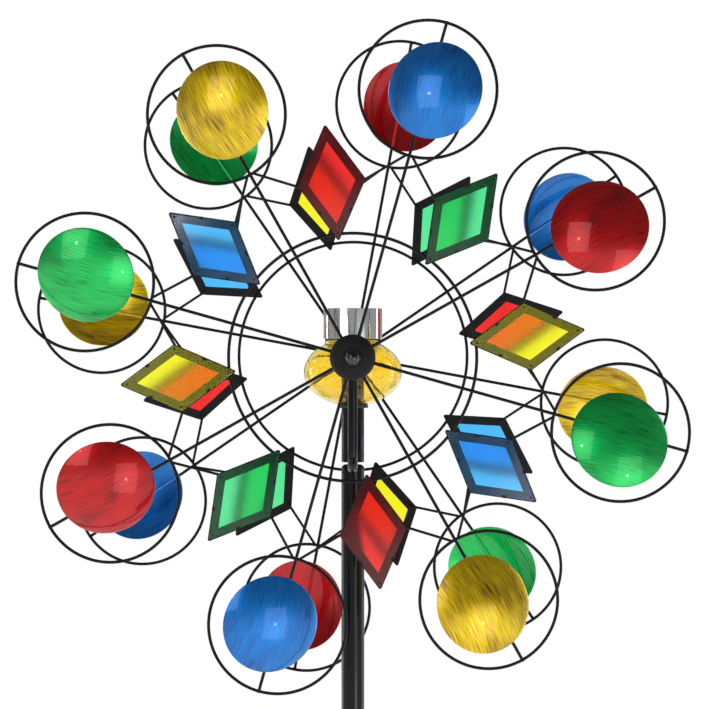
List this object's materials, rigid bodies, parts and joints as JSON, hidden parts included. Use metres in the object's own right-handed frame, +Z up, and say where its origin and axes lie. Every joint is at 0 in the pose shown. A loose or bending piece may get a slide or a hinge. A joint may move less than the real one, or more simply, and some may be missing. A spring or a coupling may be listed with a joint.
{
  "type": "kinetic wind spinner",
  "caption": "Garden wind spinner: two counter-turning wire rotors with coloured cups and diamond panels on a forked post, round a solar-lit crackle-glass globe.",
  "frame": {"origin": "on the post's axis at the ground line, the underside of the foot plate", "axes": "+Z up along the post; the front rotor faces -Y; +X to the right seen from the front"},
  "size_m": [0.6028, 0.2146, 1.9014],
  "materials": {
    "wire_black": "satin black powder coat on drawn wire",
    "frame_black": "satin black powder coat on sheet steel",
    "dome_black": "matte black",
    "nut_black": "gloss black",
    "post_black": "gloss black powder coat on steel tube",
    "stake_black": "satin black powder coat",
    "axle_steel": "zinc plated",
    "screw_steel": "black oxide",
    "bearing_bronze": "sintered bronze",
    "cup_red": "candy lacquer over brushed steel",
    "cup_green": "candy lacquer over brushed steel",
    "cup_blue": "candy lacquer over brushed steel",
    "cup_yellow": "candy lacquer over brushed steel",
    "acrylic_red": "clear coloured sheet",
    "acrylic_green": "clear coloured sheet",
    "acrylic_blue": "clear coloured sheet",
    "acrylic_yellow": "clear coloured sheet",
    "crackle_glass": "amber crackle glass",
    "black_rubber": "matte",
    "polished_sleeve": "polished stainless steel",
    "case_plastic": "white moulded plastic",
    "clear_window": "clear cast resin",
    "cell_silicon": "dark blue cell with printed fingers",
    "board_green": "solder mask",
    "battery_wrap": "shrink sleeve",
    "contact_metal": "nickel plated spring steel",
    "led_lens": "clear epoxy",
    "button_plastic": "black moulded plastic"
  },
  "bodies": {
    "root": {"stake_prongs": "stake_black", "stake_plate": "stake_black", "stake_spigot": "stake_black", "post_spigots": "post_black", "clamp_screws": "screw_steel", "lower_post": "post_black", "middle_post": "post_black", "upper_post": "post_black", "post_cap": "post_black", "yoke": "post_black", "yoke_bosses": "post_black", "axles": "axle_steel", "axle_washers": "axle_steel", "acorn_nuts": "nut_black", "lamp_stem": "post_black", "glass_globe": "crackle_glass", "globe_grommet": "black_rubber", "neck_gasket": "black_rubber"},
    "solar_module": {"solar_sleeve": "polished_sleeve", "module_case": "case_plastic", "cell_window": "clear_window", "solar_cell": "cell_silicon", "circuit_board": "board_green", "battery": "battery_wrap", "battery_clips": "contact_metal", "lamp_led": "led_lens", "switch_body": "case_plastic"},
    "switch_button": {"switch_button": "button_plastic"},
    "front_rotor": {"front_hub_tube": "wire_black", "front_bearings": "bearing_bronze", "front_dome_cap": "dome_black", "front_spokes": "wire_black", "front_inner_ring": "wire_black", "front_hoops": "wire_black", "front_braces": "wire_black", "front_panel_frames": "frame_black", "front_acrylic_red": "acrylic_red", "front_acrylic_green": "acrylic_green", "front_acrylic_blue": "acrylic_blue", "front_acrylic_yellow": "acrylic_yellow", "front_cups_red": "cup_red", "front_cups_green": "cup_green", "front_cups_blue": "cup_blue", "front_cups_yellow": "cup_yellow"},
    "rear_rotor": {"rear_hub_tube": "wire_black", "rear_bearings": "bearing_bronze", "rear_dome_cap": "dome_black", "rear_spokes": "wire_black", "rear_inner_ring": "wire_black", "rear_hoops": "wire_black", "rear_braces": "wire_black", "rear_panel_frames": "frame_black", "rear_acrylic_red": "acrylic_red", "rear_acrylic_green": "acrylic_green", "rear_acrylic_blue": "acrylic_blue", "rear_acrylic_yellow": "acrylic_yellow", "rear_cups_red": "cup_red", "rear_cups_green": "cup_green", "rear_cups_blue": "cup_blue", "rear_cups_yellow": "cup_yellow"}
  },
  "joints": [
    {"name": "front_rotor_spin", "type": "hinge", "parent": "root", "child": "front_rotor", "pos_m": [0, -0.075, 1.4], "axis": [0, -1, 0], "continuous": true},
    {"name": "rear_rotor_spin", "type": "hinge", "parent": "root", "child": "rear_rotor", "pos_m": [0, 0.075, 1.4], "axis": [0, 1, 0], "continuous": true},
    {"name": "solar_module_lift", "type": "slide", "parent": "root", "child": "solar_module", "axis": [0, 0, 1], "range_m": [0, 0.06]},
    {"name": "switch_press", "type": "slide", "parent": "solar_module", "child": "switch_button", "axis": [0, 0, 1], "range_m": [0, 0.0015], "stiffness_N_per_m": 300, "springref_m": -0.001}
  ]
}
